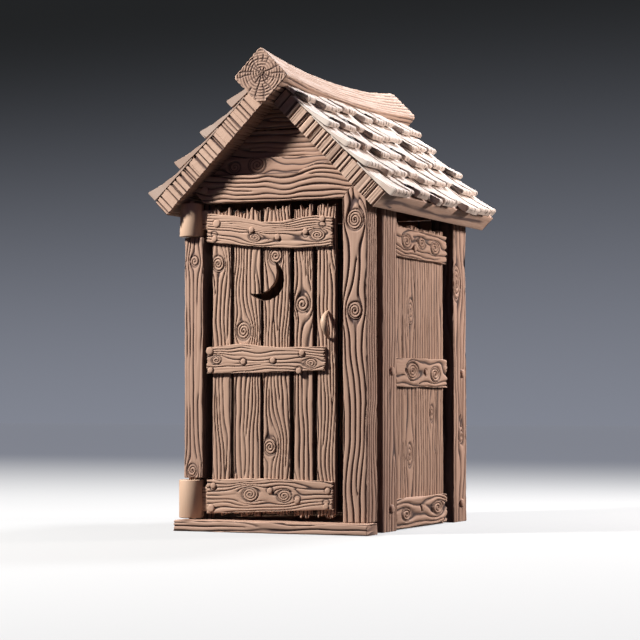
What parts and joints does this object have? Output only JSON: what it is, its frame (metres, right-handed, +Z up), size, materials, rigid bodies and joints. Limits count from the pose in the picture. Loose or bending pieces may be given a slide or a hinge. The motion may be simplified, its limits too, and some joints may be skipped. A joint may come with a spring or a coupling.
{
  "type": "wooden outhouse",
  "caption": "Rustic timber outhouse: gable roof of thick split shakes under a sagging ridge log, splintered plank walls, and a plank door with a crescent cut-out on barrel hinges.",
  "frame": {"origin": "on the ground at the middle of the building", "axes": "+Z up; the door faces -Y and is hung on the -X side; +Y runs to the rear wall"},
  "size_m": [1.659, 2.04, 2.8593],
  "materials": {
    "frame_timber": "deeply grained, matt",
    "board_timber": "deeply grained, matt",
    "roof_timber": "end grain with rings, matt",
    "split_shakes": "split and weathered, matt",
    "turned_wood": "smooth, satin",
    "inner_timber": "sawn, matt"
  },
  "bodies": {
    "house": {"floor_boards": "inner_timber", "floor_joists": "inner_timber", "front_sill": "frame_timber", "gable_boards_front": "board_timber", "gable_boards_rear": "board_timber", "header_front": "board_timber", "header_rear": "board_timber", "hinge_pins": "turned_wood", "post_front_left": "frame_timber", "post_front_right": "frame_timber", "post_rear_left": "frame_timber", "post_rear_right": "frame_timber", "rear_battens": "board_timber", "rear_girts": "inner_timber", "rear_planks": "board_timber", "ridge_beam": "roof_timber", "roof_deck_left": "roof_timber", "roof_deck_right": "roof_timber", "shakes_left_1": "split_shakes", "shakes_left_2": "split_shakes", "shakes_left_3": "split_shakes", "shakes_left_4": "split_shakes", "shakes_right_1": "split_shakes", "shakes_right_2": "split_shakes", "shakes_right_3": "split_shakes", "shakes_right_4": "split_shakes", "shakes_right_5": "split_shakes", "side_battens_left": "board_timber", "side_battens_right": "board_timber", "side_board_left": "frame_timber", "side_board_right": "frame_timber", "side_girts_left": "inner_timber", "side_girts_right": "inner_timber", "side_planks_left": "board_timber", "side_planks_right": "board_timber", "wall_plate_left": "frame_timber", "wall_plate_right": "frame_timber"},
    "door": {"door_batten_bottom": "board_timber", "door_batten_middle": "board_timber", "door_batten_top": "board_timber", "door_handle": "turned_wood", "door_planks": "board_timber", "hinge_barrel_bottom": "turned_wood", "hinge_barrel_top": "turned_wood"}
  },
  "joints": [
    {"name": "door_hinge", "type": "hinge", "parent": "house", "child": "door", "pos_m": [-0.565, -0.8, 0], "axis": [0, 0, -1], "range_deg": [0, 110]}
  ]
}
